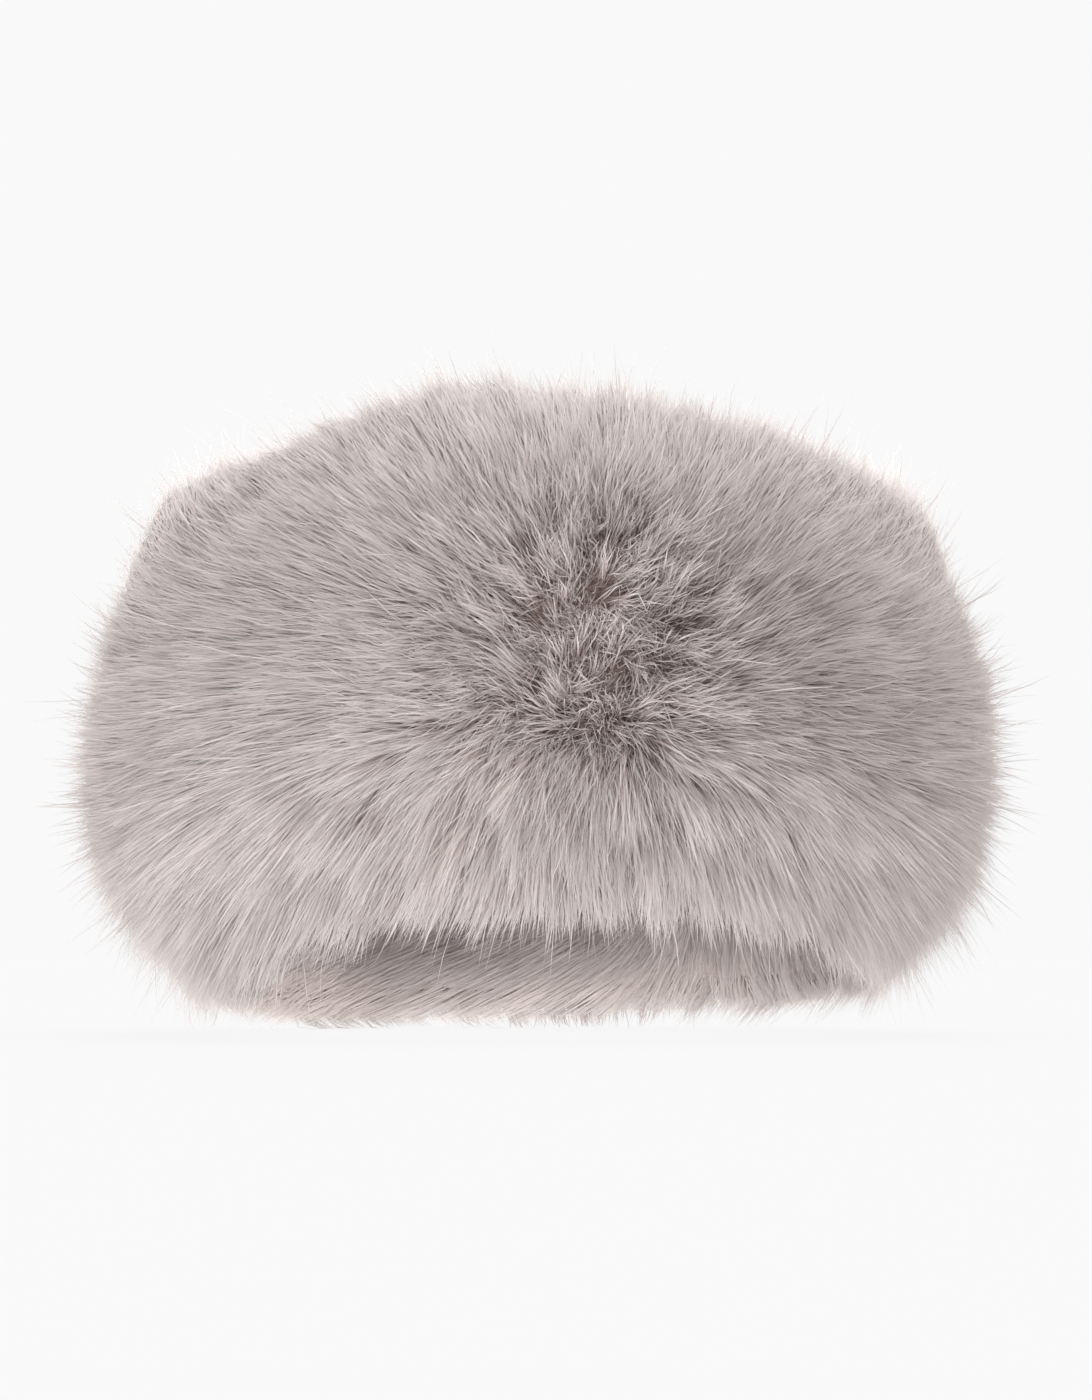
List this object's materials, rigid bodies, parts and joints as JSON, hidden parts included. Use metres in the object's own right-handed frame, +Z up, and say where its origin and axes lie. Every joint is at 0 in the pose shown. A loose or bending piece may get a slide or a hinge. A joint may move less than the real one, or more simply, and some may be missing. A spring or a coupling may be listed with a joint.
{
  "type": "faux fur headband",
  "caption": "Wide padded ring of deep grey faux fur worn round the head over brow, ears and nape, with shorter pile on its inside face.",
  "frame": {"origin": "on the surface the headband stands on, under the middle of its bounding box", "axes": "+Z up, along the ring's axis from the lower edge to the upper edge; -Y towards the brow (the front of the head), +Y towards the nape; X from ear to ear"},
  "size_m": [0.236, 0.263, 0.158],
  "materials": {
    "outer_fur": "deep soft pile, pale taupe grey with paler tips and darker roots",
    "inner_fur": "shorter combed-down pile of the same taupe grey"
  },
  "bodies": {
    "root": {"outer_fur": "outer_fur", "inner_fur": "inner_fur"}
  },
  "joints": []
}
